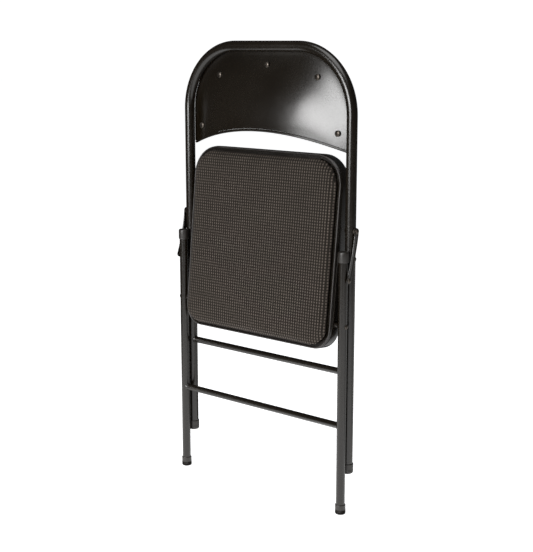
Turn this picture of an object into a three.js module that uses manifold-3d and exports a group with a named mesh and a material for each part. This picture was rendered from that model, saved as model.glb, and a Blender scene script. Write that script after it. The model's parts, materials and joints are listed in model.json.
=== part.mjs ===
// Folding chair with a bent-tube frame, a stamped back panel and a padded seat, folded flat.
// Millimetres. X is the width, +Y the way a sitter faces, +Z up. The rear feet stand at Z = 0.
import * as THREE from "three";
import { mergeVertices, toCreasedNormals } from "three/addons/utils/BufferGeometryUtils.js";
import Module from "manifold-3d";

const wasm = await Module();
wasm.setup();

// ---- driving dimensions ----
const FRAME_WIDTH = 467; // over the main tubes
const FRAME_HEIGHT = 888; // front foot to the top of the arch
const MAIN_DIA = 22;
const LEG_DIA = 19;
const STRETCHER_DIA = 14;
const WALL = 1.2;
const ARCH_RADIUS = 135.4; // to the tube's centre line
const LEG_DEPTH = (MAIN_DIA + LEG_DIA) / 2 + 3.6; // rear legs behind the main tubes
const FOOT_DROP = 83.3; // rear feet below the front feet when folded
const CAP_WALL = 1.6;
const CAP_HEIGHT = 21;
const CAP_FLOOR = 4;
const GAP = 0.3;

// pivot heights above the front feet
const LINK_TOP_Z = 512.8;
const LINK_LOW_Z = 415.6;
const SEAT_PIVOT_Z = 455.5;
const LEG_PIVOT_Z = 319.5;
const LEG_TOP_Z = 473.4;
const UPPER_STRETCHER_Z = 215.5;
const LOWER_STRETCHER_Z = 107.3;

// pins
const PIN_R = 3;
const PIN_CLEARANCE = 0.15;
const HEAD_R = 5.2;
const HEAD_T = 2.2;

// link straps
const LINK_WIDTH = 13;
const LINK_THICK = 2.4;
const LINK_CURVE = 1.35;
const LINK_STANDOFF = 2.8; // from the main tube's outer side to the strap

// seat
const SEAT_TILT = THREE.MathUtils.degToRad(6);
const SEAT_HEAD_GAP = 8.7; // seat's front edge to the back panel
const SEAT_TAIL_GAP = 46.4; // seat's rear edge to the upper stretcher
const SEAT_SIDE_GAP = 8.5; // main tube to pan
const PAN_TOP = 20; // above the seat pivot
const PAN_BOTTOM = -8;
const PAN_SHEET = 1;
const PAN_HEM = 7;
const BOARD_THICK = 3;
const PAD_EDGE = 5;
const PAD_CROWN = 9;
const PAD_INSET = 4.3;
const BOARD_INSET = 14;
const FRONT_CORNER = 64;
const REAR_CORNER = 45;

// back
const PANEL_SHEET = 1;
const PANEL_HEIGHT = 217.3; // top of the arch to the lower edge at the tubes
const PANEL_RISE = 37; // how far the lower edge arches up
const PANEL_BOW_RUN = 146; // from the arch down to the fullest bow
const PANEL_BORDER = 6; // flat strip along the arch
const PANEL_SET_IN = 9; // edge ahead of the tube's centre line
const PANEL_BULGE = 36; // from the edge to the middle of the lower edge
const HEM_R = 2.8;
const BACK_BOARD_THICK = 3;
const BACK_PAD_THICK = 15;
const SCREW_R = 2;
const SCREW_HEAD_R = 6.4;

const HALF = FRAME_WIDTH / 2 - MAIN_DIA / 2; // main tube centre line
const MAIN_R = MAIN_DIA / 2;
const LEG_R = LEG_DIA / 2;
const LEG_X = HALF + 0.9;
const ARCH_Z = FRAME_HEIGHT - MAIN_R - ARCH_RADIUS;
const PAN_HALF = HALF - MAIN_R - SEAT_SIDE_GAP;
const PANEL_SIDE_Z = FRAME_HEIGHT - PANEL_HEIGHT;
const SEAT_FRONT = PANEL_SIDE_Z - SEAT_PIVOT_Z - SEAT_HEAD_GAP; // ahead of the pivot
const SEAT_REAR = SEAT_PIVOT_Z - UPPER_STRETCHER_Z - SEAT_TAIL_GAP; // behind it
const SEAT_MID = (SEAT_FRONT - SEAT_REAR) / 2;
const frontCorner = Math.min(FRONT_CORNER, SEAT_FRONT - 2 * HEAD_R);
const rearCorner = Math.min(REAR_CORNER, SEAT_REAR - 2 * HEAD_R);

const paint = { color: 0x2b2725, roughness: 0.42, metalness: 0.3 };
const darkRubber = { color: 0x1c1b1b, roughness: 0.75, metalness: 0 };
const cloth = { color: 0x5a504c, roughness: 0.95, metalness: 0 };
const edging = { color: 0x1f1c1b, roughness: 0.7, metalness: 0 };
const plated = { color: 0x3a3634, roughness: 0.35, metalness: 0.7 };
const hardboard = { color: 0x7a5a3c, roughness: 0.85, metalness: 0 };

const root = new THREE.Group();

function piece(name, geometry, look, parent = root) {
  const mesh = new THREE.Mesh(geometry, new THREE.MeshStandardMaterial(look));
  mesh.name = name;
  parent.add(mesh);
  return mesh;
}

// ---- solids ----
function solid(geometry) {
  const bare = (geometry.index ? geometry.toNonIndexed() : geometry).clone();
  const only = new THREE.BufferGeometry().setAttribute("position", bare.getAttribute("position"));
  const merged = mergeVertices(only, 1e-3);
  return new wasm.Manifold(new wasm.Mesh({
    numProp: 3,
    vertProperties: merged.attributes.position.array,
    triVerts: new Uint32Array(merged.index.array),
  }));
}

function shell(manifold) {
  const mesh = manifold.getMesh();
  const g = new THREE.BufferGeometry();
  g.setAttribute("position", new THREE.BufferAttribute(new Float32Array(mesh.vertProperties), 3));
  g.setIndex(new THREE.BufferAttribute(new Uint32Array(mesh.triVerts), 1));
  return toCreasedNormals(g, 0.6);
}

function cut(geometry, ...tools) {
  return shell(tools.reduce((body, tool) => body.subtract(solid(tool)), solid(geometry)));
}

function barX(radius, x0, x1, y, z, sides = 20) {
  const g = new THREE.CylinderGeometry(radius, radius, x1 - x0, sides).rotateZ(Math.PI / 2);
  return g.translate((x0 + x1) / 2, y, z);
}

function barZ(radius, z0, z1, x, y, sides = 20) {
  const g = new THREE.CylinderGeometry(radius, radius, z1 - z0, sides).rotateX(Math.PI / 2);
  return g.translate(x, y, (z0 + z1) / 2);
}

// A closed profile of [radius, height] turned about Z.
function turned(profile, sides) {
  const points = profile.map(([r, z]) => new THREE.Vector2(r, z));
  points.push(points[0].clone());
  return new THREE.LatheGeometry(points, sides).rotateX(Math.PI / 2);
}

// A path whose sweep steps fall only where the tube changes direction.
class StationPath extends THREE.Curve {
  constructor(stations) {
    super();
    this.stations = stations;
  }
  station(t) {
    return this.stations[Math.round(t * (this.stations.length - 1))];
  }
  getPointAt(t) {
    return this.station(t).point.clone();
  }
  getTangentAt(t) {
    return this.station(t).tangent.clone();
  }
}

function ring(radius, inner) {
  const shape = new THREE.Shape().absarc(0, 0, radius, 0, Math.PI * 2, false);
  shape.holes.push(new THREE.Path().absarc(0, 0, inner, 0, Math.PI * 2, true));
  return shape;
}

function roundedRect(halfX, y0, y1, cornerLow, cornerHigh) {
  const s = new THREE.Shape();
  s.moveTo(-halfX + cornerLow, y0);
  s.lineTo(halfX - cornerLow, y0);
  s.absarc(halfX - cornerLow, y0 + cornerLow, cornerLow, -Math.PI / 2, 0, false);
  s.lineTo(halfX, y1 - cornerHigh);
  s.absarc(halfX - cornerHigh, y1 - cornerHigh, cornerHigh, 0, Math.PI / 2, false);
  s.lineTo(-halfX + cornerHigh, y1);
  s.absarc(-halfX + cornerHigh, y1 - cornerHigh, cornerHigh, Math.PI / 2, Math.PI, false);
  s.lineTo(-halfX, y0 + cornerLow);
  s.absarc(-halfX + cornerLow, y0 + cornerLow, cornerLow, Math.PI, Math.PI * 1.5, false);
  return s;
}

// ---- main frame ----
function archStations() {
  const list = [];
  const add = (x, z, tx, tz) =>
    list.push({ point: new THREE.Vector3(x, 0, z), tangent: new THREE.Vector3(tx, 0, tz) });
  const turns = 10;
  add(-HALF, CAP_FLOOR + GAP, 0, 1);
  for (const side of [-1, 1])
    for (let i = 0; i <= turns; i++) {
      const a = (side < 0 ? i / turns : 1 - i / turns) * (Math.PI / 2);
      const x = side * (HALF - ARCH_RADIUS + ARCH_RADIUS * Math.cos(a));
      add(x, ARCH_Z + ARCH_RADIUS * Math.sin(a), Math.sin(a), -side * Math.cos(a));
    }
  add(HALF, CAP_FLOOR + GAP, 0, -1);
  return list;
}

function frameTube() {
  const path = new StationPath(archStations());
  const g = new THREE.ExtrudeGeometry(ring(MAIN_R, MAIN_R - WALL), {
    steps: path.stations.length - 1, curveSegments: 9, extrudePath: path,
  });
  const holes = [-1, 1].flatMap((side) => [LINK_TOP_Z, SEAT_PIVOT_Z].map((z) =>
    barX(PIN_R + PIN_CLEARANCE, side * HALF - MAIN_DIA, side * HALF + MAIN_DIA, 0, z)));
  piece("back_frame_tube", cut(g, ...holes), paint);
}

// A tube between two upright tubes, its ends fitted round them.
function stretcher(name, halfX, y, z, tubeR) {
  const bar = barX(STRETCHER_DIA / 2, -halfX, halfX, y, z);
  const bore = barX(STRETCHER_DIA / 2 - WALL, -halfX - 9, halfX + 9, y, z);
  const ends = [-1, 1].map((s) => barZ(tubeR + GAP, z - 30, z + 30, s * halfX, y, 32));
  piece(name, cut(bar, bore, ...ends), paint);
}

// A slip-on end cap, closed side at z = 0.
function capGeometry(tubeR, height) {
  const r = tubeR + CAP_WALL;
  return turned([
    [0, 0], [r - 2.2, 0], [r - 0.8, 0.5], [r, 2], [r, height - 1], [r - 0.5, height],
    [tubeR + GAP, height], [tubeR + GAP, CAP_FLOOR], [0, CAP_FLOOR],
  ], 20);
}

function footCap(name, tubeR, x, y, z) {
  piece(name, capGeometry(tubeR, CAP_HEIGHT).translate(x, y, z), darkRubber);
}

// ---- back ----
function archTop(x, inset) {
  const flat = HALF - ARCH_RADIUS;
  const r = ARCH_RADIUS - inset;
  const d = Math.max(0, Math.abs(x) - flat);
  return ARCH_Z + Math.sqrt(Math.max(0, r * r - d * d));
}

function panelFoot(x) {
  const k = Math.min(1, Math.abs(x) / (HALF - MAIN_R));
  return PANEL_SIDE_Z + PANEL_RISE * (1 - k * k);
}

// Depth of the panel's rear face behind the tube's centre line: flat along the arch, then
// bowed backwards across the width, most at its lower edge.
function panelDepth(x, z) {
  const toTop = archTop(x, MAIN_R + PANEL_BORDER) - z;
  const k = Math.min(1, Math.abs(x) / (HALF - MAIN_R));
  const low = Math.sin((Math.PI / 2) * THREE.MathUtils.clamp(toTop / PANEL_BOW_RUN, 0, 1));
  return -PANEL_SET_IN + PANEL_BULGE * (1 - k * k) * low ** 1.2;
}

// A sheet that fills the arch: x runs across, z from the lower edge to the arch.
function archSheet(inset, footInset, across, up, rear, front) {
  const halfX = HALF - MAIN_R - inset;
  const g = new THREE.BoxGeometry(2, 1, 1, across, up, 1);
  const p = g.getAttribute("position");
  for (let i = 0; i < p.count; i++) {
    const t = p.getX(i);
    const x = halfX * Math.sin((t * Math.PI) / 2 * 0.86) / Math.sin((Math.PI / 2) * 0.86);
    const z0 = panelFoot(x) + footInset;
    const z1 = archTop(x, MAIN_R + inset);
    const z = z0 + (z1 - z0) * (p.getY(i) + 0.5);
    const depth = p.getZ(i) > 0 ? rear(x, z) : front(x, z);
    p.setXYZ(i, x, depth, z);
  }
  g.computeVertexNormals();
  return g;
}

function screwPlaces() {
  const top = archTop(0, MAIN_R);
  const low = HALF - MAIN_R - 25;
  const high = HALF * 0.6;
  const lowZ = PANEL_SIDE_Z + (top - PANEL_SIDE_Z) * 0.178;
  return [[-high, archTop(high, MAIN_R) - 41], [0, top - 27], [high, archTop(high, MAIN_R) - 41],
    [-low, lowZ], [low, lowZ]];
}

// The highest point of the panel under a screw head.
function seatOfHead(x, z) {
  const turn = Array.from({ length: 12 }, (_, i) => (i * Math.PI) / 6);
  return Math.max(...turn.map((a) =>
    panelDepth(x + SCREW_HEAD_R * Math.cos(a), z + SCREW_HEAD_R * Math.sin(a))));
}

function backrest() {
  const edge = Math.sqrt((MAIN_R + GAP) ** 2 - PANEL_SET_IN ** 2) - MAIN_R + 0.1;
  const rear = (x, z) => -panelDepth(x, z);
  const panel = archSheet(edge, 0, 32, 18, rear, (x, z) => rear(x, z) + PANEL_SHEET);
  const boardRear = PANEL_SET_IN + PANEL_SHEET + GAP;
  const board = archSheet(10, 12, 18, 4, () => boardRear, () => boardRear + BACK_BOARD_THICK);
  const padRear = boardRear + BACK_BOARD_THICK + GAP;
  const halfX = HALF - MAIN_R - 8;
  const padFront = (x, z) => {
    const toSide = halfX - Math.abs(x);
    const toTop = archTop(x, MAIN_R + 8) - z;
    const toFoot = z - panelFoot(x) - 10;
    const e = THREE.MathUtils.clamp(Math.min(toSide, toTop, toFoot) / 20, 0, 1);
    const hollow = 3 * (1 - (x / halfX) ** 2);
    return padRear + 4 + (BACK_PAD_THICK - 4 - hollow) * Math.sqrt(1 - (1 - e) ** 2);
  };
  const pad = archSheet(8, 10, 24, 12, () => padRear, padFront);
  const drill = (from, to) => screwPlaces().map(([x, z]) =>
    new THREE.CylinderGeometry(SCREW_R + 0.2, SCREW_R + 0.2, to - from, 12)
      .translate(x, (from + to) / 2, z));
  piece("backrest_panel", cut(panel, ...drill(-50, 30)), paint);
  piece("backrest_board", cut(board, ...drill(0, boardRear + BACK_BOARD_THICK - 0.6)), hardboard);
  piece("backrest_pad", pad, cloth);
  screwPlaces().forEach(([x, z], i) => {
    const y = -seatOfHead(x, z) - GAP;
    const g = screwGeometry(SCREW_HEAD_R, boardRear + BACK_BOARD_THICK - 1 - y);
    piece("backrest_screw_" + (i + 1), g.rotateX(Math.PI / 2).translate(x, y, z), plated);
  });
  hem(edge);
}

// The rolled lip along the panel's lower edge.
function hem(edge) {
  const stations = [];
  const halfX = HALF - MAIN_R - edge - HEM_R - 0.4;
  const at = (x) => {
    const z = panelFoot(x);
    return new THREE.Vector3(x, -panelDepth(x, z) + PANEL_SHEET / 2, z - HEM_R - GAP);
  };
  for (let i = 0; i <= 30; i++) {
    const x = halfX * Math.sin((i / 15 - 1) * 1.3) / Math.sin(1.3);
    stations.push({ point: at(x), tangent: at(x + 0.5).sub(at(x - 0.5)).normalize() });
  }
  const round = new THREE.Shape().absarc(0, 0, HEM_R, 0, Math.PI * 2, false);
  const g = new THREE.ExtrudeGeometry(round, {
    steps: 30, curveSegments: 5, extrudePath: new StationPath(stations),
  });
  piece("backrest_hem", g, paint);
}

// A pan-head screw: head rises to +z from 0, shank runs down to -z.
function screwGeometry(headR, shank) {
  return turned([
    [0, -shank], [SCREW_R * 0.7, -shank], [SCREW_R, -shank + 1], [SCREW_R, 0], [headR, 0],
    [headR, 0.7], [headR * 0.72, 1.8], [headR * 0.3, 2.3], [0, 2.3],
  ], 14);
}

// ---- pins ----
// A domed rivet along X, its outer head outside x1 and its inner head inside x0.
function rivetGeometry(x0, x1, innerHead) {
  const length = x1 - x0;
  const dome = (base, dir) => [
    [HEAD_R, base], [HEAD_R, base + dir * 0.7], [HEAD_R * 0.8, base + dir * 1.6],
    [HEAD_R * 0.4, base + dir * HEAD_T], [0, base + dir * HEAD_T],
  ];
  const outer = dome(length, 1);
  const inner = innerHead ? dome(0, -1).reverse() : [[0, 0]];
  return turned([...inner, [PIN_R, 0], [PIN_R, length], ...outer], 16)
    .rotateY(Math.PI / 2).translate(x0, 0, 0);
}

function mirrored(geometry) {
  return shell(solid(geometry).mirror([1, 0, 0]));
}

// Puts a right-hand piece and its mirror image.
function pair(name, geometry, look, parent = root) {
  piece(name + "_right", geometry, look, parent);
  piece(name + "_left", mirrored(geometry), look, parent);
}

function sleeve(x0, x1, radius) {
  return cut(barX(radius, x0, x1, 0, 0), barX(PIN_R + PIN_CLEARANCE, x0 - 2, x1 + 2, 0, 0));
}

const frameOuter = HALF + MAIN_R;
const frameInner = HALF - MAIN_R;
const legOuter = LEG_X + LEG_R;
const legInner = LEG_X - LEG_R;
const panOuter = PAN_HALF;
const panInner = PAN_HALF - PAN_SHEET;
const bracketOuter = panOuter + GAP + 2;
const strapInner = frameOuter + LINK_STANDOFF;
const strapOuter = strapInner + LINK_THICK;

function pins() {
  const at = (g, y, z) => g.translate(0, y, z);
  pair("link_pin", at(rivetGeometry(frameInner - GAP, strapOuter + GAP, true), 0, LINK_TOP_Z), plated);
  pair("seat_pin", at(rivetGeometry(panInner - GAP, frameOuter + GAP, true), 0, SEAT_PIVOT_Z), plated);
  pair("seat_pin_spacer",
    at(sleeve(bracketOuter + GAP, frameInner - GAP, 5.5), 0, SEAT_PIVOT_Z), paint);
  pair("leg_pin",
    at(rivetGeometry(panInner - GAP, legOuter + GAP, true), -LEG_DEPTH, LEG_PIVOT_Z), plated);
  pair("leg_pin_spacer",
    at(sleeve(bracketOuter + GAP, legInner - GAP, 5.5), -LEG_DEPTH, LEG_PIVOT_Z), paint);
}

// ---- rear legs ----
function rearLegs() {
  const z0 = -FOOT_DROP + CAP_FLOOR + GAP;
  const tube = barZ(LEG_R, z0, LEG_TOP_Z - CAP_FLOOR - GAP, LEG_X, -LEG_DEPTH);
  const bore = barZ(LEG_R - WALL, z0 - 9, LEG_TOP_Z + 9, LEG_X, -LEG_DEPTH);
  const pinHole = barX(PIN_R + PIN_CLEARANCE, legInner - 9, legOuter + 9, -LEG_DEPTH, LEG_PIVOT_Z);
  pair("rear_leg", cut(tube, bore, pinHole), paint);
  stretcher("lower_stretcher", LEG_X, -LEG_DEPTH, LOWER_STRETCHER_Z, LEG_R);
  const top = capGeometry(LEG_R, CAP_HEIGHT + 1).rotateX(Math.PI);
  pair("leg_top_cap", top.translate(LEG_X, -LEG_DEPTH, LEG_TOP_Z), darkRubber);
  footCap("rear_foot_left", LEG_R, -LEG_X, -LEG_DEPTH, -FOOT_DROP);
  footCap("rear_foot_right", LEG_R, LEG_X, -LEG_DEPTH, -FOOT_DROP);
}

// ---- links ----
// The strap lies in the YZ plane, curving from the frame pin back to the leg pin.
function strapOutline() {
  const run = LINK_TOP_Z - LINK_LOW_Z;
  const r = LINK_WIDTH / 2;
  const steps = 12;
  const centre = (s) => new THREE.Vector2(-LEG_DEPTH * s ** LINK_CURVE, -run * s);
  const lean = (s) => Math.atan2(LEG_DEPTH * LINK_CURVE * s ** (LINK_CURVE - 1), run);
  const edge = (s, side) =>
    centre(s).add(new THREE.Vector2(Math.cos(lean(s)), -Math.sin(lean(s))).multiplyScalar(side * r));
  const shape = new THREE.Shape();
  const first = edge(0, -1);
  shape.moveTo(first.x, first.y);
  for (let i = 1; i <= steps; i++) shape.lineTo(edge(i / steps, -1).x, edge(i / steps, -1).y);
  shape.absarc(-LEG_DEPTH, -run, r, Math.PI - lean(1), Math.PI * 2 - lean(1), false);
  for (let i = steps - 1; i >= 0; i--) shape.lineTo(edge(i / steps, 1).x, edge(i / steps, 1).y);
  shape.absarc(0, 0, r, 0, Math.PI, false);
  for (const s of [0, 1])
    shape.holes.push(new THREE.Path()
      .absarc(centre(s).x, centre(s).y, PIN_R + PIN_CLEARANCE, 0, Math.PI * 2, true));
  return shape;
}

function links() {
  const bevel = 0.5;
  const strap = new THREE.ExtrudeGeometry(strapOutline(), {
    depth: LINK_THICK - 2 * bevel, curveSegments: 12, bevelEnabled: true,
    bevelSize: bevel, bevelThickness: bevel, bevelOffset: -bevel, bevelSegments: 1,
  });
  // shape X to +Y, shape Y to +Z, thickness to +X
  const turn = new THREE.Matrix4().makeBasis(
    new THREE.Vector3(0, 1, 0), new THREE.Vector3(0, 0, 1), new THREE.Vector3(1, 0, 0));
  strap.translate(0, 0, bevel).applyMatrix4(turn);
  pair("link", strap.translate(strapInner, 0, LINK_TOP_Z), paint);
  pair("link_washer",
    sleeve(frameOuter + GAP, strapInner - GAP, 7).translate(0, 0, LINK_TOP_Z), plated);
  const low = rivetGeometry(legOuter + 0.8, strapOuter + GAP, false);
  pair("link_leg_pin", low.translate(0, -LEG_DEPTH, LINK_LOW_Z), plated);
}

// ---- seat ----
// Drawn flat: x across, y towards the seat's front, z up, origin on the seat pivot.
function seatOutline(inset) {
  return roundedRect(PAN_HALF - inset, -SEAT_REAR + inset, SEAT_FRONT - inset,
    rearCorner - inset, frontCorner - inset);
}

function slab(inset, z0, z1) {
  const g = new THREE.ExtrudeGeometry(seatOutline(inset), {
    depth: z1 - z0, curveSegments: 10, bevelEnabled: false,
  });
  return g.translate(0, 0, z0);
}

function roundedSlab(inset, z0, z1, size, thick, segments) {
  const g = new THREE.ExtrudeGeometry(seatOutline(inset + size), {
    depth: z1 - z0 - thick, curveSegments: 10, bevelEnabled: true,
    bevelSize: size, bevelThickness: thick, bevelSegments: segments,
  });
  const flat = slab(inset - 2, z0 - thick - 5, z0);
  return cut(g.translate(0, 0, z0), flat);
}

function seatScrewPlaces() {
  const x = PAN_HALF * 0.62;
  return [[-x, SEAT_MID - 120], [x, SEAT_MID - 120], [-x, SEAT_MID + 120], [x, SEAT_MID + 120]]
    .map(([a, b]) => [a, THREE.MathUtils.clamp(b, -SEAT_REAR * 0.7, SEAT_FRONT * 0.75)]);
}

// The leg pivot in the seat's own drawing.
function legPivotOnSeat() {
  const dz = LEG_PIVOT_Z - SEAT_PIVOT_Z;
  const c = Math.cos(SEAT_TILT);
  const s = Math.sin(SEAT_TILT);
  return { y: -LEG_DEPTH * s + dz * c, z: LEG_DEPTH * c + dz * s };
}

function bracket(b) {
  const r = 9;
  const top = Math.max(PAN_TOP - 2, b.z + PIN_R + 2);
  const shape = new THREE.Shape();
  shape.moveTo(b.y - r, top);
  shape.lineTo(b.y - r, b.z);
  shape.absarc(b.y, b.z, r, Math.PI, Math.PI * 1.5, false);
  shape.lineTo(0, -r);
  shape.absarc(0, 0, r, -Math.PI / 2, 0, false);
  shape.lineTo(r, top);
  for (const [y, z] of [[0, 0], [b.y, b.z]])
    shape.holes.push(new THREE.Path().absarc(y, z, PIN_R + PIN_CLEARANCE, 0, Math.PI * 2, true));
  const g = new THREE.ExtrudeGeometry(shape, { depth: 2, curveSegments: 10, bevelEnabled: false });
  const turn = new THREE.Matrix4().makeBasis(
    new THREE.Vector3(0, 1, 0), new THREE.Vector3(0, 0, 1), new THREE.Vector3(1, 0, 0));
  return g.applyMatrix4(turn).translate(panOuter + GAP, 0, 0);
}

function seat() {
  const group = new THREE.Group();
  group.position.set(0, 0, SEAT_PIVOT_Z);
  group.rotation.x = Math.PI / 2 - SEAT_TILT;
  root.add(group);
  const b = legPivotOnSeat();
  const outer = roundedSlab(0, PAN_BOTTOM, PAN_TOP, 4, 4, 3);
  const pocket = roundedSlab(PAN_SHEET, PAN_BOTTOM + PAN_SHEET, PAN_TOP - PAN_SHEET, 3, 3, 3);
  const mouth = slab(PAN_HEM, PAN_BOTTOM - 5, PAN_BOTTOM + PAN_SHEET + 1);
  const bores = [[0, 0], [b.y, b.z]].map(([y, z]) =>
    barX(PIN_R + PIN_CLEARANCE, -PAN_HALF - 9, PAN_HALF + 9, y, z));
  const drill = seatScrewPlaces().map(([x, y]) => barZ(SCREW_R + 0.2, 0, PAN_TOP + 5, x, y, 12));
  const pan = cut(outer, pocket, mouth, ...bores, ...drill);
  piece("seat_pan", pan, paint, group);
  pair("seat_bracket", bracket(b), paint, group);
  const z1 = PAN_TOP + GAP;
  const z2 = z1 + BOARD_THICK;
  const blind = seatScrewPlaces().map(([x, y]) => barZ(SCREW_R + 0.2, z1 - 1, z2 - 0.6, x, y, 12));
  piece("seat_board", cut(slab(BOARD_INSET, z1, z2), ...blind), hardboard, group);
  piece("seat_pad", roundedSlab(PAD_INSET, z2 + GAP, z2 + GAP + PAD_EDGE + PAD_CROWN - 2,
    16, 9, 4), cloth, group);
  const rim = new THREE.ExtrudeGeometry(seatOutline(PAD_INSET - 3.1), {
    depth: 2.8, curveSegments: 10, bevelEnabled: false,
  }).translate(0, 0, z1);
  piece("seat_piping", cut(rim, slab(PAD_INSET - GAP, z1 - 5, z1 + 9)), edging, group);
  seatScrewPlaces().forEach(([x, y], i) => {
    const g = screwGeometry(SCREW_HEAD_R, PAN_SHEET + 2 * GAP + BOARD_THICK - 1).rotateX(Math.PI);
    piece("seat_screw_" + (i + 1), g.translate(x, y, PAN_TOP - PAN_SHEET - GAP), plated, group);
  });
}

frameTube();
stretcher("upper_stretcher", HALF, 0, UPPER_STRETCHER_Z, MAIN_R);
footCap("front_foot_left", MAIN_R, -HALF, 0, 0);
footCap("front_foot_right", MAIN_R, HALF, 0, 0);
backrest();
pins();
rearLegs();
links();
seat();

// Origin at the middle of the footprint, on the floor.
root.updateMatrixWorld(true);
const box = new THREE.Box3().setFromObject(root, true);
root.position.set(0, -(box.min.y + box.max.y) / 2, -box.min.z);

export default root;
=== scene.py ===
import json
import math

import bmesh
import bpy
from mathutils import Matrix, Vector


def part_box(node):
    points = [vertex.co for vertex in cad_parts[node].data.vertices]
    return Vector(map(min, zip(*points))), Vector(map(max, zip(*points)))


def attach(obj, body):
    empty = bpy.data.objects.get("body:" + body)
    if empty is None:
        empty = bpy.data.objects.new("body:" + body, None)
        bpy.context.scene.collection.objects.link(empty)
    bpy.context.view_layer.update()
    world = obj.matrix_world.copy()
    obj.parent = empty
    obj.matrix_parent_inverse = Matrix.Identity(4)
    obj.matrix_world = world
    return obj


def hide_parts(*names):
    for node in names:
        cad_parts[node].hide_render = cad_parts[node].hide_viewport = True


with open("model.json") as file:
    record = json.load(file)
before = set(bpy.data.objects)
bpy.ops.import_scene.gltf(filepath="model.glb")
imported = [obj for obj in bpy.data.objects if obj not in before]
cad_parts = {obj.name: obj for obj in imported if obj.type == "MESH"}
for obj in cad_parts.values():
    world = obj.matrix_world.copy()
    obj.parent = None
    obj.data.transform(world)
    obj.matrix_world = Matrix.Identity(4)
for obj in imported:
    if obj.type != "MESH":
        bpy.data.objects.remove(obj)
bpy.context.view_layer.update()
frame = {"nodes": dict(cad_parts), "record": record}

scene = bpy.context.scene
MM = 0.001


# ---- the frame's own datums, in millimetres ----
def box_mm(node):
    low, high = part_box(node)
    return [v * 1000 for v in low], [v * 1000 for v in high]


_low, _high = box_mm("back_frame_tube")
Y0 = (_low[1] + _high[1]) / 2
Z0 = box_mm("front_foot_left")[0][2]
MAIN_R, LEG_R, BAR_R = 11.0, 9.5, 7.0
HALF = (_high[0] - _low[0]) / 2 - MAIN_R + 0.1
LEG_X = HALF + 0.9
LEG_W = 24.1
FRAME_TOP = 888
ARCH_R = 135.4
ARCH_Z = FRAME_TOP - MAIN_R - ARCH_R
LINK_TOP, LINK_LOW = 512.8, 415.6
SEAT_PIVOT, LEG_PIVOT = 455.5, 319.5
LEG_TOP, DROP = 473.4, 83.3
UPPER_BAR, LOWER_BAR = 215.5, 107.3
PANEL_SIDE, PANEL_RISE, BOW_RUN = FRAME_TOP - 217.3, 37.0, 146.0
PANEL_SET_IN, PANEL_BORDER, PANEL_BULGE, PANEL_SHEET = 9, 6, 36, 1.0
BOARD_THICK, PAD_EDGE = 3, 11
TILT = math.radians(6)
PAN_HALF = HALF - MAIN_R - 8.5
SEAT_FRONT, SEAT_REAR = 206.5, 193.6
FRONT_CORNER, REAR_CORNER = 64.0, 45.0
FRAME_OUT, LEG_OUT = HALF + MAIN_R, LEG_X + LEG_R
STRAP_IN, STRAP_OUT = FRAME_OUT + 2.8, FRAME_OUT + 5.2
LINK_CURVE = 1.35
GAP = 0.3
FOOT_HEIGHT, PLUG_HEIGHT = 21, 22
SCREW_HEAD, RIVET_HEAD = 6.4, 5.2
KNOT_PITCH, THREAD_PITCH = 6.1, 1.22


# A point given as width, depth behind the frame and height over the front feet.
def at(x, w, z):
    return Vector((x, Y0 - w, Z0 + z)) * MM


# A point in the seat's own plane: across, towards its front, above its pivot.
def on_seat(x, s, n):
    c, t = math.cos(TILT), math.sin(TILT)
    return at(x, n * c - s * t, SEAT_PIVOT + s * c + n * t)


# ---- mesh makers ----
def make(name, verts, faces, sharp=35):
    mesh = bpy.data.meshes.new(name)
    mesh.from_pydata([tuple(v) for v in verts], [], faces)
    bm = bmesh.new()
    bm.from_mesh(mesh)
    bmesh.ops.remove_doubles(bm, verts=bm.verts, dist=1e-6)
    bmesh.ops.recalc_face_normals(bm, faces=bm.faces)
    bm.to_mesh(mesh)
    bm.free()
    mesh.polygons.foreach_set("use_smooth", [True] * len(mesh.polygons))
    mesh.set_sharp_from_angle(angle=math.radians(sharp))
    obj = bpy.data.objects.new(name, mesh)
    scene.collection.objects.link(obj)
    return obj


# Rings of points joined one to the next; open ends are closed with a face.
def loft(name, rings, closed=False, caps=True, sharp=35):
    n = len(rings[0])
    verts = [p for ring in rings for p in ring]
    faces = []
    last = len(rings) if closed else len(rings) - 1
    for i in range(last):
        a, b = i * n, ((i + 1) % len(rings)) * n
        faces += [(a + j, a + (j + 1) % n, b + (j + 1) % n, b + j) for j in range(n)]
    if caps and not closed:
        faces += [tuple(range(n))[::-1], tuple(range((len(rings) - 1) * n, len(rings) * n))]
    return make(name, verts, faces, sharp)


# A profile of (radius, height) turned about a line.
def turn(name, profile, origin, axis, sides=48, sharp=35):
    axis = Vector(axis).normalized()
    side = axis.orthogonal().normalized()
    other = axis.cross(side)
    rings = []
    for r, h in profile:
        r = max(r, 0.01)
        rings.append([origin + (axis * h + (side * math.cos(a) + other * math.sin(a)) * r) * MM
                      for a in (2 * math.pi * j / sides for j in range(sides))])
    return loft(name, rings, sharp=sharp)


# A round section carried along a path.
def sweep(name, path, radius, sides=32, closed=False, sharp=50):
    rings = []
    count = len(path)
    up = None
    for i, p in enumerate(path):
        a = path[(i - 1) % count] if closed or i else path[0]
        b = path[(i + 1) % count] if closed or i < count - 1 else path[-1]
        t = (b - a).normalized()
        if up is None:
            up = t.orthogonal().normalized()
        up = (up - t * up.dot(t)).normalized()
        v = t.cross(up)
        rings.append([p + (up * math.cos(q) + v * math.sin(q)) * radius * MM
                      for q in (2 * math.pi * j / sides for j in range(sides))])
    return loft(name, rings, closed=closed, sharp=sharp)


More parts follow.
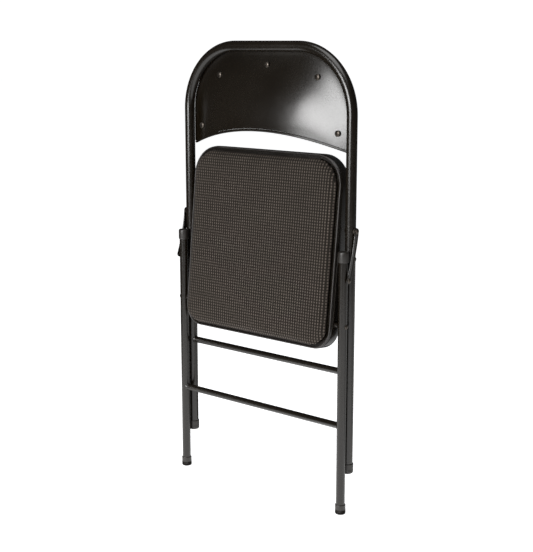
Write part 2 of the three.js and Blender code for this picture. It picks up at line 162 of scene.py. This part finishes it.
# A rectangle with its own corner radius at each end, as points in order.
def rounded_rect(half, s0, s1, low, high, steps=14, runs=26):
    points = []
    for cx, cy, r, a0 in ((half - low, s0 + low, low, -90), (half - high, s1 - high, high, 0),
                          (high - half, s1 - high, high, 90), (low - half, s0 + low, low, 180)):
        for i in range(steps + 1):
            a = math.radians(a0 + 90 * i / steps)
            points.append((cx + r * math.cos(a), cy + r * math.sin(a)))
    # extra points on the straight runs keep the faces even
    full = []
    for i, p in enumerate(points):
        q = points[(i + 1) % len(points)]
        full.append(p)
        if i % (steps + 1) == steps:
            full += [(p[0] + (q[0] - p[0]) * k / runs, p[1] + (q[1] - p[1]) * k / runs)
                     for k in range(1, runs)]
    return full


def seat_loop(inset):
    return rounded_rect(PAN_HALF - inset, -SEAT_REAR + inset, SEAT_FRONT - inset,
                        max(REAR_CORNER - inset, 6), max(FRONT_CORNER - inset, 6))


# ---- materials ----
class Nodes:
    def __init__(self, name):
        self.mat = bpy.data.materials.new(name)
        self.mat.use_nodes = True
        self.tree = self.mat.node_tree
        self.shader = self.tree.nodes["Principled BSDF"]
        self.where = self.add("ShaderNodeTexCoord").outputs["Object"]

    def add(self, kind, **inputs):
        node = self.tree.nodes.new(kind)
        for key, value in inputs.items():
            self.put(node, key, value)
        return node

    def put(self, node, key, value):
        numbered = key[0] == "i" and key[1:].isdigit()
        socket = node.inputs[int(key[1:]) if numbered else key]
        if isinstance(value, bpy.types.NodeSocket):
            self.tree.links.new(value, socket)
        else:
            socket.default_value = value

    def math(self, op, a, b=0.0, c=0.0):
        node = self.add("ShaderNodeMath", i0=a, i1=b, i2=c)
        node.operation = op
        return node.outputs[0]

    def vec(self, op, a, b=(0, 0, 0)):
        node = self.add("ShaderNodeVectorMath", i0=a, i1=b)
        node.operation = op
        return node.outputs["Value" if op == "LENGTH" else "Vector"]

    def noise(self, scale, detail=3.0, rough=0.5):
        return self.add("ShaderNodeTexNoise", Vector=self.where, Scale=scale, Detail=detail,
                        Roughness=rough).outputs[0]

    def span(self, value, a, b, c, d):
        node = self.add("ShaderNodeMapRange", i0=value, i1=a, i2=b, i3=c, i4=d)
        return node.outputs[0]

    def colours(self, factor, one, two):
        node = self.tree.nodes.new("ShaderNodeMix")
        node.data_type = "RGBA"
        self.tree.links.new(factor, node.inputs[0])
        node.inputs[6].default_value = (*one, 1)
        if isinstance(two, bpy.types.NodeSocket):
            self.tree.links.new(two, node.inputs[7])
        else:
            node.inputs[7].default_value = (*two, 1)
        return node.outputs[2]

    def finish(self, colour, rough, height=None, strength=0.1, distance=0.001, **constants):
        self.tree.links.new(colour, self.shader.inputs["Base Color"])
        self.tree.links.new(rough, self.shader.inputs["Roughness"])
        if height is not None:
            bump = self.add("ShaderNodeBump", Height=height, Strength=strength, Distance=distance)
            self.tree.links.new(bump.outputs[0], self.shader.inputs["Normal"])
        for key, value in constants.items():
            self.shader.inputs[key.replace("_", " ")].default_value = value
        return self.mat


def paint_material():
    n = Nodes("frame_enamel")
    drift = n.noise(9.0, 4.0)
    fleck = n.noise(420.0, 2.0)
    colour = n.colours(n.span(drift, 0.3, 0.7, 0, 1), (0.0034, 0.0022, 0.0010),
                       (0.0048, 0.0033, 0.0017))
    rough = n.span(n.math("ADD", n.math("MULTIPLY", drift, 0.6), n.math("MULTIPLY", fleck, 0.4)),
                   0.3, 0.7, 0.20, 0.31)
    return n.finish(colour, rough, fleck, 0.015, 0.0002, IOR=1.5)


def rubber_material():
    n = Nodes("foot_rubber")
    drift = n.noise(30.0, 4.0)
    grain = n.noise(900.0, 3.0)
    colour = n.colours(drift, (0.007, 0.0056, 0.0044), (0.013, 0.0106, 0.0086))
    return n.finish(colour, n.span(grain, 0.3, 0.7, 0.34, 0.48), grain, 0.15, 0.0003, IOR=1.5)


def fixing_material():
    n = Nodes("dark_plating")
    drift = n.noise(160.0, 4.0)
    colour = n.colours(drift, (0.035, 0.029, 0.024), (0.075, 0.064, 0.054))
    return n.finish(colour, n.span(drift, 0.3, 0.7, 0.22, 0.42), drift, 0.12, 0.0003, Metallic=0.85)


def edging_material():
    n = Nodes("vinyl_edging")
    grain = n.noise(700.0, 3.0)
    colour = n.colours(grain, (0.010, 0.008, 0.007), (0.020, 0.016, 0.014))
    return n.finish(colour, n.span(grain, 0.3, 0.7, 0.36, 0.52), grain, 0.2, 0.0004)


def board_material():
    n = Nodes("hardboard")
    fibre = n.noise(260.0, 6.0, 0.7)
    colour = n.colours(fibre, (0.018, 0.012, 0.008), (0.03, 0.02, 0.014))
    return n.finish(colour, n.span(fibre, 0.2, 0.8, 0.7, 0.9), fibre, 0.3, 0.0005)


# Woven cloth: a square grid of light knots on a dark ribbed ground. The grid lies in the piece's
# own plane, turned back by the lean about X.
def cloth_material(name, lean):
    n = Nodes(name)
    turned = n.add("ShaderNodeMapping", Vector=n.where, Rotation=(-lean, 0, 0))
    flat = n.vec("MULTIPLY", turned.outputs[0], (1, 1, 0))
    wobble = n.add("ShaderNodeTexNoise", Vector=n.where, Scale=24.0, Detail=2.0)
    shift = n.vec("MULTIPLY", n.vec("SUBTRACT", wobble.outputs["Color"], (0.5, 0.5, 0.5)),
                  (0.0012, 0.0012, 0.0))
    flat = n.vec("ADD", flat, shift)
    cell = n.vec("MULTIPLY", flat, (1000 / KNOT_PITCH, 1000 / KNOT_PITCH, 0))
    near = n.vec("SUBTRACT", n.vec("FRACTION", cell), (0.5, 0.5, 0))
    knot = n.span(n.vec("LENGTH", n.vec("MULTIPLY", near, (1.5, 0.95, 0))), 0.20, 0.42, 1, 0)
    split = n.add("ShaderNodeSeparateXYZ", i0=n.vec("MULTIPLY", flat, (1000, 1000, 0)))
    warp = n.math("MULTIPLY", split.outputs[0], math.pi / THREAD_PITCH)
    warp = n.math("ABSOLUTE", n.math("SINE", warp))
    weft = n.math("MULTIPLY", split.outputs[1], math.pi / THREAD_PITCH)
    weft = n.math("ABSOLUTE", n.math("SINE", weft))
    weave = n.math("MULTIPLY", warp, weft)
    drift = n.noise(14.0, 3.0)
    fuzz = n.noise(1500.0, 3.0)
    ground = n.colours(n.math("MULTIPLY", weave, n.math("ADD", fuzz, 0.35)),
                       (0.0065, 0.0050, 0.0037), (0.0155, 0.0122, 0.0096))
    mix = n.tree.nodes.new("ShaderNodeMix")
    mix.data_type = "RGBA"
    n.tree.links.new(n.math("MULTIPLY", knot, n.span(drift, 0.25, 0.75, 0.75, 1.0)), mix.inputs[0])
    n.tree.links.new(ground, mix.inputs[6])
    mix.inputs[7].default_value = (0.072, 0.060, 0.050, 1)
    height = n.math("ADD", n.math("MULTIPLY", weave, 0.5), n.math("MULTIPLY", knot, 0.8))
    return n.finish(mix.outputs[2], n.span(fuzz, 0.2, 0.8, 0.82, 0.96), height, 0.55, 0.0006,
                    Sheen_Weight=0.02, Specular_IOR_Level=0.10)


PAINT = paint_material()
RUBBER = rubber_material()
FIXING = fixing_material()
EDGING = edging_material()
BOARD = board_material()
SEAT_CLOTH = cloth_material("seat_weave", math.pi / 2 - TILT)
BACK_CLOTH = cloth_material("back_weave", math.pi / 2)

LOOKS = {"frame_paint": PAINT, "foot_rubber": RUBBER, "fixings": FIXING, "edge_trim": EDGING,
         "pad_board": BOARD}


def put(piece, body, slot, *nodes, look=None):
    piece.data.materials.clear()
    piece.data.materials.append(look or LOOKS[slot])
    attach(piece, body)
    if nodes:
        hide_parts(*nodes)
    return piece


# CAD nodes that stay get their slot's material.
for entry in frame["record"]["subparts"]:
    node = frame["nodes"][entry["node"]]
    look = LOOKS.get(entry["material_slot"], SEAT_CLOTH)
    if not node.material_slots:
        node.data.materials.append(look)
    for held in node.material_slots:
        held.material = look


# ---- main frame ----
def arch_path(offset=0.0, low=0.0, steps=28):
    r = ARCH_R - offset
    points = [at(-HALF + offset, 0, low + (ARCH_Z - low) * i / 6) for i in range(6)]
    for side in (-1, 1):
        for i in range(steps + 1):
            a = (i if side < 0 else steps - i) / steps * math.pi / 2
            points.append(at(side * (HALF - ARCH_R + r * math.cos(a)), 0, ARCH_Z + r * math.sin(a)))
    points += [at(HALF - offset, 0, low + (ARCH_Z - low) * i / 6) for i in range(5, -1, -1)]
    return points


put(sweep("bent_frame_tube", arch_path(low=5), MAIN_R, 40), "back_frame", "frame_paint",
    "back_frame_tube")


# A round bar brazed between two tubes, with a small bead where each end meets its tube.
def stretcher(name, node, body, half, w, z, tube_r):
    rings = []
    reach = half - math.sqrt(tube_r ** 2 - BAR_R ** 2) - 0.2
    profile = [(-reach - 0.6, BAR_R + 1.5), (-reach + 0.8, BAR_R + 1.3),
               (-reach + 2.6, BAR_R + 0.35), (-reach + 3.6, BAR_R)]
    xs = profile + [(0, BAR_R)] + [(-x, r) for x, r in reversed(profile)]
    for x, r in xs:
        rings.append([at(x, w + r * math.cos(a), z + r * math.sin(a))
                      for a in (2 * math.pi * j / 32 for j in range(32))])
    put(loft(name, rings, sharp=60), body, "frame_paint", node)


stretcher("front_crossbar", "upper_stretcher", "back_frame", HALF, 0, UPPER_BAR, MAIN_R)
stretcher("rear_crossbar", "lower_stretcher", "rear_legs", LEG_X, LEG_W, LOWER_BAR, LEG_R)


# A slip-on cap: a moulded body with a plain mouth. One that points up has two shallow grip rings.
def cap(name, node, body, x, w, z, tube_r, height, up=1):
    r = tube_r + 1.6
    profile = [(0.01, 0), (r - 3.0, 0), (r - 1.6, 0.25), (r - 0.7, 0.9), (r - 0.2, 2.0), (r, 3.4)]
    if up > 0:
        for h in (5.5, 8.5):
            profile += [(r, h), (r - 0.45, h + 0.5), (r - 0.45, h + 1.1), (r, h + 1.6)]
    profile += [(r, height - 4.0), (r - 0.1, height - 3.4), (r + 0.0, height - 2.8),
                (r, height - 0.9), (r - 0.35, height - 0.2), (r - 0.8, height),
                (tube_r + 0.2, height), (tube_r + 0.2, height - 3)]
    put(turn(name, profile, at(x, w, z), (0, 0, up), 48, 40), body, "foot_rubber", node)


for side, word in ((-1, "left"), (1, "right")):
    cap("front_shoe_" + word, "front_foot_" + word, "back_frame", side * HALF, 0, 0, MAIN_R,
        FOOT_HEIGHT)
    cap("rear_shoe_" + word, "rear_foot_" + word, "rear_legs", side * LEG_X, LEG_W, -DROP, LEG_R,
        FOOT_HEIGHT)
    cap("leg_plug_" + word, "leg_top_cap_" + word, "rear_legs", side * LEG_X, LEG_W, LEG_TOP,
        LEG_R, PLUG_HEIGHT, -1)
    leg = [at(side * LEG_X, LEG_W, z) for z in (-DROP + 5, 0, 150, 300, LEG_TOP - 5)]
    put(sweep("leg_tube_" + word, leg, LEG_R, 40), "rear_legs", "frame_paint", "rear_leg_" + word)


# ---- back panel ----
def arch_top(x, inset):
    r = ARCH_R - inset
    d = max(0.0, abs(x) - (HALF - ARCH_R))
    return ARCH_Z + math.sqrt(max(0.0, r * r - d * d))


def panel_foot(x):
    k = min(1.0, abs(x) / (HALF - MAIN_R))
    return PANEL_SIDE + PANEL_RISE * (1 - k * k)


def panel_depth(x, z):
    to_top = arch_top(x, MAIN_R + PANEL_BORDER) - z
    k = min(1.0, abs(x) / (HALF - MAIN_R))
    low = math.sin(math.pi / 2 * min(1.0, max(0.0, to_top / BOW_RUN)))
    return -PANEL_SET_IN + PANEL_BULGE * (1 - k * k) * low ** 1.2


def arch_grid(half, across, up, z_low, z_high):
    for i in range(across + 1):
        t = i / across * 2 - 1
        x = half * math.sin(t * math.pi / 2 * 0.86) / math.sin(math.pi / 2 * 0.86)
        yield x, [z_low(x) + (z_high(x) - z_low(x)) * (j / up) for j in range(up + 1)]


def sheet_between(name, columns, rear, front, sharp=50):
    columns = list(columns)
    nx, nz = len(columns), len(columns[0][1])
    verts = [at(x, rear(x, z), z) for x, zs in columns for z in zs]
    verts += [at(x, front(x, z), z) for x, zs in columns for z in zs]
    base = nx * nz
    faces = []
    for i in range(nx - 1):
        for j in range(nz - 1):
            a = i * nz + j
            faces.append((a, a + nz, a + nz + 1, a + 1))
            faces.append((base + a, base + a + 1, base + a + nz + 1, base + a + nz))
    rim = [i * nz for i in range(nx)] + [(nx - 1) * nz + j for j in range(1, nz)]
    rim += [i * nz + nz - 1 for i in range(nx - 2, -1, -1)] + list(range(nz - 2, 0, -1))
    faces += [(rim[k], rim[(k + 1) % len(rim)], base + rim[(k + 1) % len(rim)], base + rim[k])
              for k in range(len(rim))]
    return make(name, verts, faces, sharp)


EDGE = math.sqrt((MAIN_R + GAP) ** 2 - PANEL_SET_IN ** 2) - MAIN_R + 0.1
panel = sheet_between(
    "stamped_back_panel",
    arch_grid(HALF - MAIN_R - EDGE, 150, 90, panel_foot, lambda x: arch_top(x, MAIN_R + EDGE)),
    panel_depth, lambda x, z: panel_depth(x, z) - PANEL_SHEET)
put(panel, "back_frame", "frame_paint", "backrest_panel")

hem_half = HALF - MAIN_R - EDGE - 3.2
hem_path = []
for i in range(91):
    x = hem_half * (i / 45 - 1)
    hem_path.append(at(x, panel_depth(x, panel_foot(x)) - 0.5, panel_foot(x) - 3.0))
put(sweep("panel_rolled_lip", hem_path, 2.8, 20), "back_frame", "frame_paint", "backrest_hem")


# ---- fixings ----
def screw_places():
    top, high, low = arch_top(0, MAIN_R), HALF * 0.6, HALF - MAIN_R - 25
    low_z = PANEL_SIDE + (top - PANEL_SIDE) * 0.178
    high_z = arch_top(high, MAIN_R) - 41
    return [(-high, high_z), (0, top - 27), (high, high_z), (-low, low_z), (low, low_z)]


# A truss-head screw with a cross recess, its head standing on origin.
def screw(name, origin, axis, shank, head=SCREW_HEAD):
    sides = 40
    axis = Vector(axis).normalized()
    side = Vector((1, 0, 0))
    other = axis.cross(side)
    rings = []
    profile = [(0.4, -shank), (1.4, -shank), (2.0, -shank + 1), (2.0, -0.1), (head, 0), (head, 0.6),
               (head * 0.93, 1.15), (head * 0.78, 1.7), (head * 0.6, 2.05), (head * 0.45, 2.2),
               (head * 0.3, 2.28), (head * 0.16, 2.3), (0.05, 2.3)]
    for r, h in profile:
        ring = []
        for j in range(sides):
            a = 2 * math.pi * j / sides
            drop = 0.0
            if h > 2.0:
                u, v = abs(r * math.cos(a)), abs(r * math.sin(a))
                drop = 1.1 if min(u, v) < 0.45 and max(u, v) < 2.3 else 0.0
            out = (side * math.cos(a) + other * math.sin(a)) * r
            ring.append(origin + (axis * (h - drop) + out) * MM)
        rings.append(ring)
    return loft(name, rings, sharp=30)


for i, (x, z) in enumerate(screw_places()):
    under = max(panel_depth(x + SCREW_HEAD * math.cos(a), z + SCREW_HEAD * math.sin(a))
                for a in (k * math.pi / 6 for k in range(12)))
    put(screw("back_fixing_%d" % (i + 1), at(x, under + 0.1, z), (0, -1, 0), 5), "back_frame",
        "fixings", "backrest_screw_%d" % (i + 1))


# A pin with a domed head at its outer end, and at its inner end if wanted.
def rivet(name, node, body, side, w, z, inner, outer, head=RIVET_HEAD, inner_head=True):
    def dome(base, way):
        return [(head, base), (head, base + way * 0.5), (head * 0.96, base + way * 0.9),
                (head * 0.8, base + way * 1.5), (head * 0.55, base + way * 1.95),
                (head * 0.3, base + way * 2.15), (0.02, base + way * 2.2)]
    profile = (dome(inner, -1)[::-1] if inner_head else [(0.02, inner)]) + [(3, inner), (3, outer)]
    profile += dome(outer, 1)
    put(turn(name, profile, at(0, w, z), (side, 0, 0), 36, 40), body, "fixings", node)


PAN_IN = PAN_HALF - 1.0
for side, word in ((-1, "left"), (1, "right")):
    rivet("link_rivet_" + word, "link_pin_" + word, "back_frame", side, 0, LINK_TOP,
          HALF - MAIN_R - GAP, STRAP_OUT + 0.1)
    rivet("seat_rivet_" + word, "seat_pin_" + word, "back_frame", side, 0, SEAT_PIVOT,
          PAN_IN - GAP, FRAME_OUT)
    rivet("leg_rivet_" + word, "leg_pin_" + word, "rear_legs", side, LEG_W, LEG_PIVOT,
          PAN_IN - GAP, LEG_OUT)
    rivet("link_lower_rivet_" + word, "link_leg_pin_" + word, "link_" + word, side, LEG_W,
          LINK_LOW, LEG_OUT + 0.8, STRAP_OUT + 0.1, inner_head=False)


# ---- links ----
# A pressed strap that curves from the frame's pin back to the leg, with a shallow groove.
def strap(side, word):
    run, curve = LINK_TOP - LINK_LOW, LINK_CURVE

    def line(t):
        lean = math.atan2(LEG_W * curve * t ** (curve - 1), run)
        return LEG_W * t ** curve, run * t, lean

    outline = []
    for k in range(25):
        outline.append((0, math.pi * k / 24, 1.0))
    for k in range(1, 24):
        outline.append((k / 24, math.pi, 1 - 0.12 * math.sin(math.pi * k / 24)))
    for k in range(25):
        outline.append((1, math.pi + math.pi * k / 24, 1.0))
    for k in range(23, 0, -1):
        outline.append((k / 24, 0.0, 1 - 0.12 * math.sin(math.pi * k / 24)))
    rings = []
    for reach, out, groove in ((5.3, STRAP_IN, 0), (6.15, STRAP_IN, 0), (6.5, STRAP_IN + 0.4, 0),
                               (6.5, STRAP_OUT - 0.5, 0), (6.15, STRAP_OUT - 0.1, 0),
                               (5.4, STRAP_OUT, 0), (3.3, STRAP_OUT, 0), (2.4, STRAP_OUT, -0.5)):
        ring = []
        for t, a, waist in outline:
            if groove:
                t = 0.13 + 0.74 * t
            depth, fall, lean = line(t)
            u, v = reach * waist * math.cos(a), reach * waist * math.sin(a)
            w = depth - u * math.cos(lean) - v * math.sin(lean)
            z = LINK_TOP - fall - u * math.sin(lean) + v * math.cos(lean)
            ring.append(at(side * (out + groove), w, z))
        rings.append(ring)
    put(loft("side_link_" + word, rings, sharp=40), "link_" + word, "frame_paint", "link_" + word)


for side, word in ((-1, "left"), (1, "right")):
    strap(side, word)


# ---- seat ----
def seat_rings(profile):
    return [[on_seat(x, s, n) for x, s in seat_loop(inset)] for inset, n in profile]


# (inset, height): the top, the rounded rim, the turned-in hem, then the underside and its channel.
pan_profile = [
    (60, 20), (14, 20), (6, 20), (4.0, 20), (2.6, 19.75), (1.4, 19.0), (0.5, 17.8), (0.1, 16.5),
    (0, 15), (0, -5.6), (0.25, -6.9), (1.0, -7.8), (2.2, -8), (5.6, -8), (6.6, -7.8), (7, -7.4),
    (6.6, -7.0), (5.6, -6.9), (2.6, -6.9), (1.4, -6.3), (1.0, -5), (1.0, 15), (1.3, 16.8),
    (2.3, 18.3), (4, 19.0), (8, 19.0), (34, 19.0), (37, 18.5), (40, 17.3), (44, 16.8),
    (52, 16.8), (56, 17.3), (59, 18.5), (62, 19.0), (75, 19.0)]
pan = loft("stamped_seat_pan", seat_rings(pan_profile), sharp=35)
put(pan, "seat", "frame_paint", "seat_pan")

piping = [on_seat(x, s, 21.8) for x, s in seat_loop(2.7)]
put(sweep("seat_welt", piping, 1.6, 16, closed=True), "seat", "edge_trim", "seat_piping")

for i, (x, s) in enumerate([(-1, -1), (1, -1), (-1, 1), (1, 1)]):
    middle = (SEAT_FRONT - SEAT_REAR) / 2
    spot = on_seat(x * PAN_HALF * 0.62, middle + 120 * s, 18.9)
    down = on_seat(0, 0, -1) - on_seat(0, 0, 0)
    put(screw("pan_fixing_%d" % (i + 1), spot, down, 4), "seat", "fixings",
        "seat_screw_%d" % (i + 1))


# ---- padding ----
# Swells a closed form with pressure, then holds it in its own space.
def inflate(piece, voxel, pressure, frames, cap_m, keep):
    mod = piece.modifiers.new("remesh", "REMESH")
    mod.mode = "VOXEL"
    mod.voxel_size = voxel
    graph = bpy.context.evaluated_depsgraph_get()
    mesh = bpy.data.meshes.new_from_object(piece.evaluated_get(graph))
    piece.modifiers.clear()
    piece.data = mesh
    start = [v.co.copy() for v in mesh.vertices]
    cloth = piece.modifiers.new("cloth", "CLOTH")
    cloth.settings.use_pressure = True
    cloth.settings.uniform_pressure_force = pressure
    cloth.settings.effector_weights.gravity = 0
    cloth.settings.quality = 5
    cloth.settings.mass = 0.3
    cloth.settings.tension_stiffness = 15
    cloth.settings.compression_stiffness = 15
    cloth.settings.bending_stiffness = 0.5
    cloth.point_cache.frame_start = 1
    cloth.point_cache.frame_end = frames
    for f in range(1, frames + 1):
        scene.frame_set(f)
    graph = bpy.context.evaluated_depsgraph_get()
    done = bpy.data.meshes.new_from_object(piece.evaluated_get(graph))
    piece.modifiers.clear()
    piece.data = done
    scene.frame_set(1)
    for v, was in zip(piece.data.vertices, start):
        move = v.co - was
        if move.length > cap_m:
            v.co = was + move.normalized() * cap_m
        v.co = keep(v.co.copy())
    sub = piece.modifiers.new("fine", "SUBSURF")
    sub.levels = 1
    sub.render_levels = 1
    graph = bpy.context.evaluated_depsgraph_get()
    done = bpy.data.meshes.new_from_object(piece.evaluated_get(graph))
    piece.modifiers.clear()
    piece.data = done
    piece.data.polygons.foreach_set("use_smooth", [True] * len(piece.data.polygons))
    return piece


ORIGIN = on_seat(0, 0, 0)
UP = (on_seat(0, 0, 1) - ORIGIN).normalized()


def seat_keep(p):
    n = (p - ORIGIN).dot(UP) / MM
    low, high = 23.6, 39.0
    return p + UP * ((min(max(n, low), high) - n) * MM)


pad_profile = [(9, 23.7), (6.0, 23.8), (4.9, 24.6), (4.6, 25.6), (5.2, 27.2), (7.2, 29.4),
               (12, 31.6), (21, 33.4), (42, 34.8), (78, 35.3), (120, 35.4)]
seat_pad = inflate(loft("seat_cushion", seat_rings(pad_profile)), 0.005, 4.0, 14, 0.0035, seat_keep)
put(seat_pad, "seat", "seat_cloth", "seat_pad", look=SEAT_CLOTH)

# The back pad lies on its board in front of the panel, the sitter's side.
PAD_BACK = -(PANEL_SET_IN + PANEL_SHEET + GAP + BOARD_THICK + GAP)
PAD_INSET = 9
pad_half = HALF - MAIN_R - PAD_INSET


def pad_front(x, z):
    inset = min(pad_half - abs(x), arch_top(x, MAIN_R + PAD_INSET) - z,
                z - panel_foot(x) - PAD_EDGE)
    e = min(1.0, max(0.0, inset / 22))
    return PAD_BACK - 3.5 - (10.5 - 3 * (1 - (x / pad_half) ** 2)) * math.sqrt(1 - (1 - e) ** 2)


def back_keep(p):
    w = Y0 - p.y / MM
    p.y = (Y0 - min(PAD_BACK - 0.1, w)) * MM
    return p


back_pad = sheet_between(
    "back_cushion",
    arch_grid(pad_half, 70, 36, lambda x: panel_foot(x) + PAD_EDGE,
              lambda x: arch_top(x, MAIN_R + PAD_INSET)),
    lambda x, z: PAD_BACK - 0.2, pad_front)
back_pad = inflate(back_pad, 0.004, 4.0, 14, 0.003, back_keep)
put(back_pad, "back_frame", "seat_cloth", "backrest_pad", look=BACK_CLOTH)


# ---- stage, light, camera ----
def plain(name, colour, emit=0.0):
    mat = bpy.data.materials.new(name)
    mat.use_nodes = True
    shader = mat.node_tree.nodes["Principled BSDF"]
    shader.inputs["Base Color"].default_value = (*colour, 1)
    shader.inputs["Roughness"].default_value = 0.9
    if emit:
        shader.inputs["Emission Color"].default_value = (*colour, 1)
        shader.inputs["Emission Strength"].default_value = emit
    return mat


def hide_from_reflections(piece):
    piece.visible_glossy = False
    piece.visible_transmission = False


def disc(name, inner, outer, z, sides=48):
    turn_at = [2 * math.pi * k / sides for k in range(sides)]
    verts = [(r * math.cos(a), r * math.sin(a), z) for r in (inner, outer) for a in turn_at]
    faces = [(k, (k + 1) % sides, sides + (k + 1) % sides, sides + k) for k in range(sides)]
    if inner < 0.1:
        faces.append(tuple(range(sides))[::-1])
    return make(name, verts, faces)


# The white sheet the chair stands on, and the pale ground that carries on beyond it.
floor = disc("studio_floor", 0.05, 1.8, -0.0006)
floor.data.materials.append(plain("pale_floor", (0.93, 0.935, 0.94), 0.9))
hide_from_reflections(floor)
ground = disc("studio_ground", 1.8, 30, -0.0006)
ground.data.materials.append(plain("pale_ground", (0.95, 0.955, 0.96), 1.0))
hide_from_reflections(ground)
ground.visible_diffuse = False

# The pale wall round the studio, behind everything.
wall = make("studio_wall", [(29 * math.cos(a), 29 * math.sin(a), z) for z in (-0.0005, 40)
                            for a in (k * math.pi / 16 for k in range(32))],
            [(k, (k + 1) % 32, 32 + (k + 1) % 32, 32 + k) for k in range(32)], 60)
wall.data.materials.append(plain("pale_wall", (1, 1, 1), 1.0))
hide_from_reflections(wall)
wall.visible_diffuse = False
wall.visible_shadow = False

world = bpy.data.worlds.new("studio")
scene.world = world
world.use_nodes = True
world.node_tree.nodes["Background"].inputs[0].default_value = (1, 1, 1, 1)
world.node_tree.nodes["Background"].inputs[1].default_value = 0.06


def softbox(name, place, target, width, height, power):
    data = bpy.data.lights.new(name, "AREA")
    data.shape = "RECTANGLE"
    data.size, data.size_y, data.energy = width, height, power
    lamp = bpy.data.objects.new(name, data)
    lamp.location = place
    lamp.rotation_euler = (Vector(target) - Vector(place)).to_track_quat("-Z", "Y").to_euler()
    scene.collection.objects.link(lamp)


softbox("key", (-0.25, -3.0, 1.15), (0, 0, 0.85), 1.5, 1.2, 110)
softbox("top", (0.5, -0.8, 3.0), (0, 0, 0.5), 2.0, 2.0, 50)
softbox("bounce", (0.62, -0.73, 0.01), (0.62, -0.729, 1.0), 3.0, 1.9, 30)
softbox("front_bounce", (1.3, 1.5, 0.01), (1.3, 1.501, 1.0), 2.6, 2.6, 16)

cam = bpy.data.cameras.new("view")
cam.sensor_fit = "VERTICAL"
cam.sensor_height = 24.0
cam.lens = 1173.98 * 24.0 / 552
cam.clip_end = 200
eye = bpy.data.objects.new("view", cam)
eye.location = (1.60554, -1.88656 + Y0 * MM, 0.88888 + Z0 * MM)
eye.rotation_euler = (math.radians(90 - 11.362), 0, math.radians(40.395))
scene.collection.objects.link(eye)
scene.camera = eye
scene.view_settings.view_transform = "Standard"
